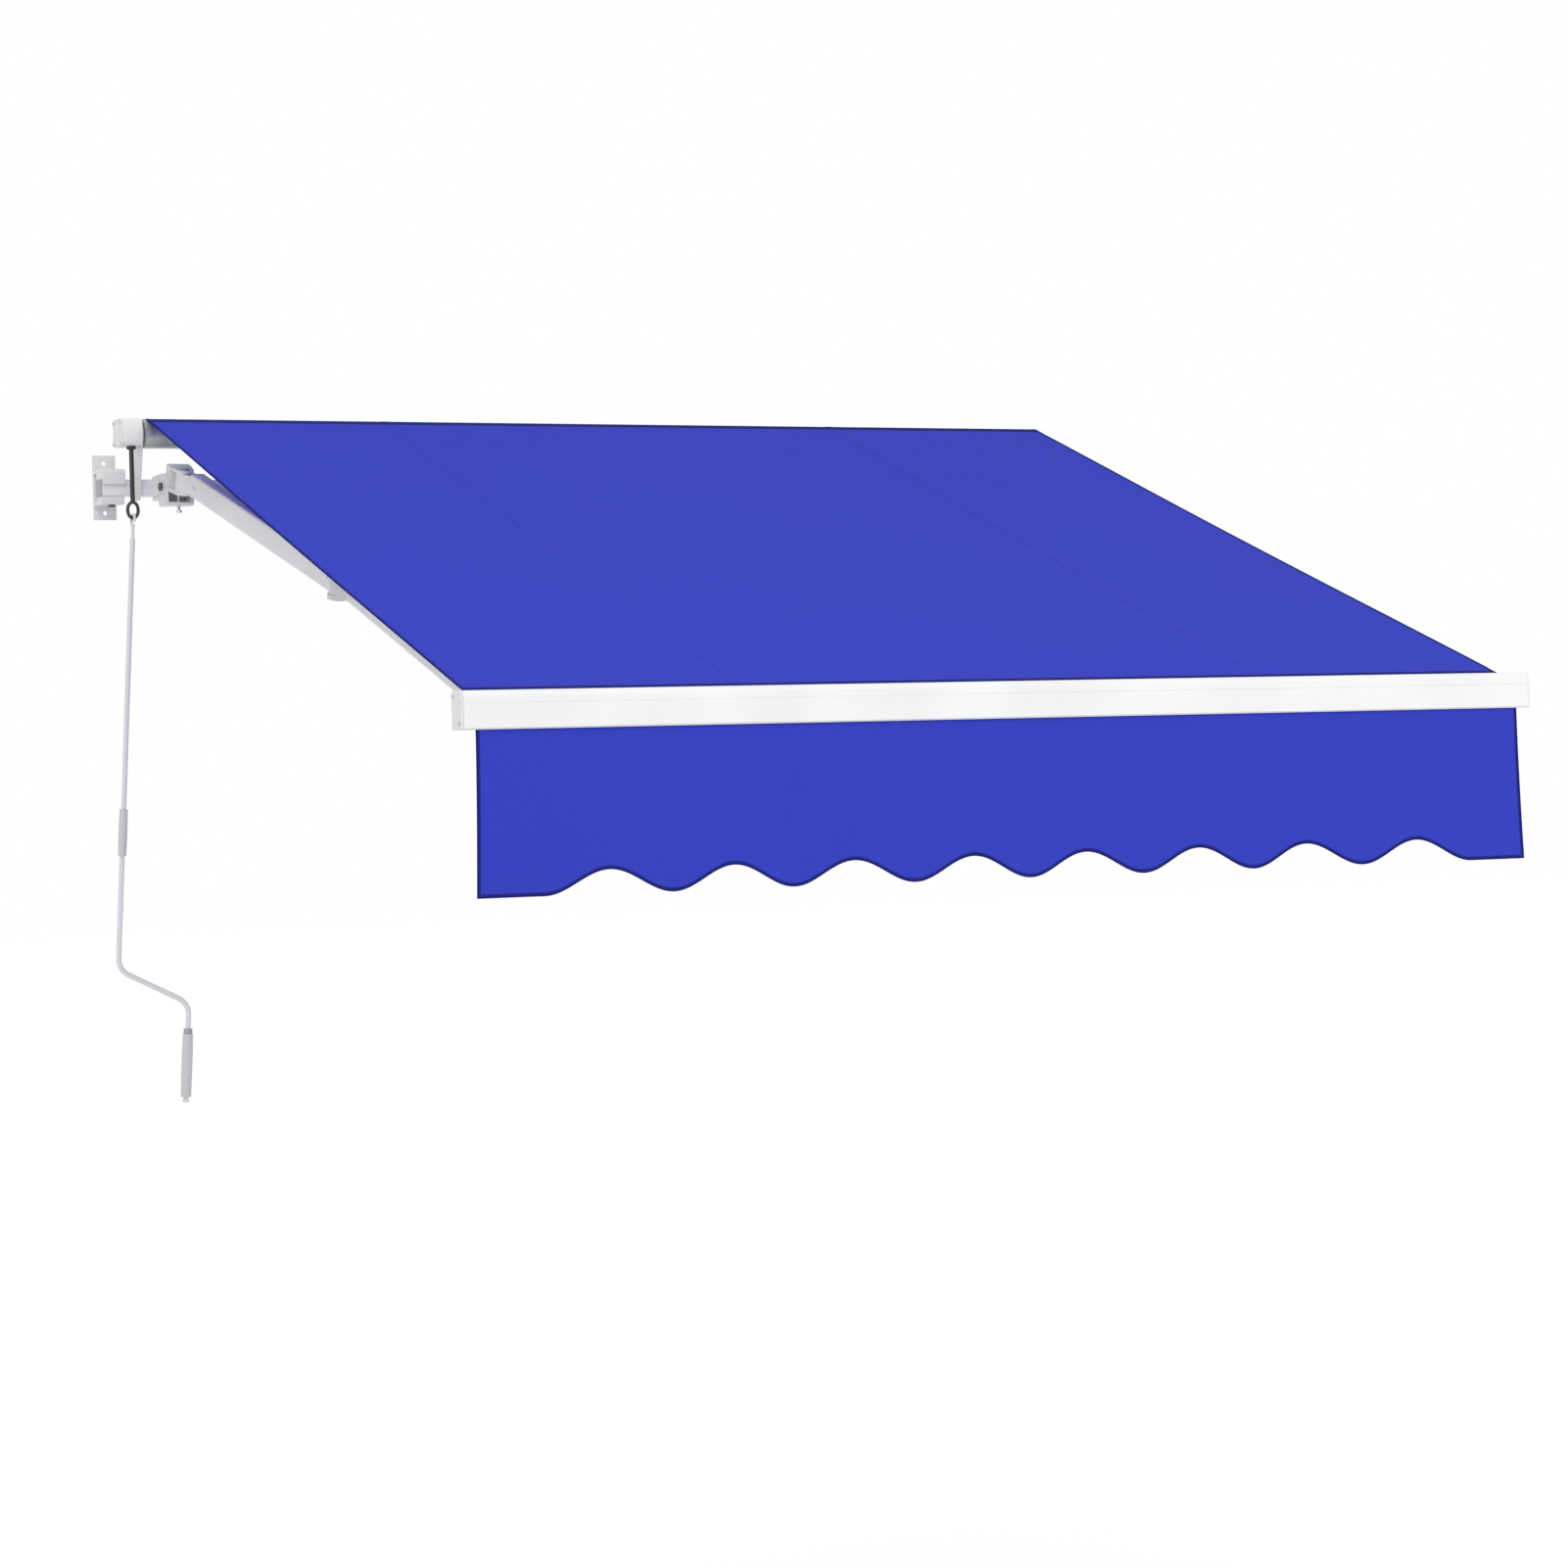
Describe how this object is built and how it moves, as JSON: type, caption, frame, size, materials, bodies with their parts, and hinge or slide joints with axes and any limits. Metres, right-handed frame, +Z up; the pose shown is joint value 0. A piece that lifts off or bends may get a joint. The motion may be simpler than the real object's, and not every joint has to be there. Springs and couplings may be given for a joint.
{
  "type": "folding-arm awning",
  "caption": "Manual folding-arm awning: wall-hung square bar, cloth roller with winding gear and crank, sprung folding arms, front bar, cloth canopy and scalloped valance.",
  "frame": {"origin": "on the wall's surface, at the middle of the cloth's width and the height of the square bar's middle", "axes": "+X along the wall, +Y into the wall, +Z up; the canopy runs out towards -Y and down"},
  "size_m": [2.6184, 2.2486, 1.6264],
  "materials": {
    "white_steel": "smooth white powder coat",
    "white_aluminium": "smooth white powder coat on extrusions and castings",
    "roller_steel": "galvanised grey",
    "zinc_steel": "zinc plated",
    "crank_coat": "light grey powder coat",
    "black_plastic": "moulded",
    "grey_plastic": "moulded",
    "blue_cloth": "woven, matt",
    "bronze": "turned"
  },
  "bodies": {
    "wall_frame": {"torsion_bar": "white_steel", "torsion_bar_cap_left": "grey_plastic", "torsion_bar_cap_right": "grey_plastic", "wall_bracket_left": "white_aluminium", "wall_bracket_right": "white_aluminium", "bracket_bolt_left": "zinc_steel", "bracket_bolt_right": "zinc_steel", "arm_bracket_left": "white_aluminium", "arm_bracket_right": "white_aluminium", "tilt_block_left": "white_aluminium", "tilt_block_right": "white_aluminium", "tilt_bolt_left": "zinc_steel", "tilt_bolt_right": "zinc_steel", "pitch_screw_left": "zinc_steel", "pitch_screw_right": "zinc_steel", "shoulder_pin_left": "zinc_steel", "shoulder_pin_right": "zinc_steel", "roller_bracket_left": "white_steel", "roller_bracket_right": "white_steel", "roller_stub_right": "zinc_steel", "gearbox_housing": "white_aluminium", "gearbox_cover": "white_aluminium", "canopy": "blue_cloth"},
    "roller": {"roller_tube": "roller_steel", "roller_plug_left": "grey_plastic", "roller_plug_right": "grey_plastic", "roller_bead": "black_plastic", "worm_wheel": "bronze"},
    "winding_eye": {"worm_shaft": "black_plastic"},
    "crank": {"crank_rod": "crank_coat", "crank_collar": "grey_plastic"},
    "crank_sleeve": {"crank_sleeve": "grey_plastic"},
    "crank_handle": {"crank_handle": "grey_plastic"},
    "left_upper_arm": {"upper_arm_left": "white_aluminium", "shoulder_knuckle_left": "white_aluminium", "elbow_fork_left": "white_aluminium", "elbow_pin_left": "zinc_steel", "arm_spring_left": "zinc_steel"},
    "left_forearm": {"forearm_left": "white_aluminium", "elbow_tongue_left": "white_aluminium", "front_knuckle_left": "white_aluminium"},
    "right_upper_arm": {"upper_arm_right": "white_aluminium", "shoulder_knuckle_right": "white_aluminium", "elbow_fork_right": "white_aluminium", "elbow_pin_right": "zinc_steel", "arm_spring_right": "zinc_steel"},
    "right_forearm": {"forearm_right": "white_aluminium", "elbow_tongue_right": "white_aluminium", "front_knuckle_right": "white_aluminium"},
    "front_bar": {"front_bar": "white_aluminium", "front_cap_left": "white_aluminium", "front_cap_right": "white_aluminium", "arm_clamp_left": "white_aluminium", "arm_clamp_right": "white_aluminium", "front_pin_left": "zinc_steel", "front_pin_right": "zinc_steel", "cloth_bead": "black_plastic", "valance_bead": "black_plastic", "valance": "blue_cloth"}
  },
  "joints": [
    {"name": "left_shoulder_fold", "type": "hinge", "parent": "wall_frame", "child": "left_upper_arm", "pos_m": [-1.13, -0.177, 0.007], "axis": [0, -0.2946, 0.9556], "range_deg": [0, 81]},
    {"name": "left_elbow", "type": "hinge", "parent": "left_upper_arm", "child": "left_forearm", "pos_m": [-1.09412, -1.15879, -0.29561], "axis": [0, -0.2946, 0.9556], "range_deg": [-162, 0], "deforming": ["canopy"]},
    {"name": "left_front_pivot", "type": "hinge", "parent": "left_forearm", "child": "front_bar", "pos_m": [-1.13, -2.14058, -0.59823], "axis": [0, -0.2946, 0.9556], "range_deg": [0, 81]},
    {"name": "right_shoulder_fold", "type": "hinge", "parent": "wall_frame", "child": "right_upper_arm", "pos_m": [1.13, -0.177, 0.007], "axis": [0, -0.2946, 0.9556], "range_deg": [-81, 0]},
    {"name": "right_elbow", "type": "hinge", "parent": "right_upper_arm", "child": "right_forearm", "pos_m": [1.09412, -1.15879, -0.29561], "axis": [0, -0.2946, 0.9556], "range_deg": [0, 162]},
    {"name": "roller_spin", "type": "hinge", "parent": "wall_frame", "child": "roller", "pos_m": [0, -0.1005, 0.127], "axis": [-1, 0, 0], "range_deg": [0, 2800]},
    {"name": "crank_turn", "type": "hinge", "parent": "wall_frame", "child": "winding_eye", "pos_m": [-1.2413, -0.1261, 0.05], "axis": [0, 0, 1], "continuous": true},
    {"name": "crank_swing", "type": "hinge", "parent": "winding_eye", "child": "crank", "pos_m": [-1.2413, -0.1261, -0.0755], "axis": [1, 0, 0], "range_deg": [-60, 3]},
    {"name": "sleeve_spin", "type": "hinge", "parent": "crank", "child": "crank_sleeve", "pos_m": [-1.2413, -0.1261, -0.0755], "axis": [0.0628, 0, 0.998], "continuous": true},
    {"name": "handle_spin", "type": "hinge", "parent": "crank", "child": "crank_handle", "pos_m": [-1.06665, -0.1261, -0.08649], "axis": [0.0628, 0, 0.998], "continuous": true}
  ],
  "couplings": [
    {"joint": "left_shoulder_fold", "follows": "left_elbow", "ratio": -0.5},
    {"joint": "left_front_pivot", "follows": "left_elbow", "ratio": -0.5},
    {"joint": "right_shoulder_fold", "follows": "left_elbow", "ratio": 0.5},
    {"joint": "right_elbow", "follows": "left_elbow", "ratio": -1},
    {"joint": "roller_spin", "follows": "left_elbow", "ratio": -17.25}
  ]
}
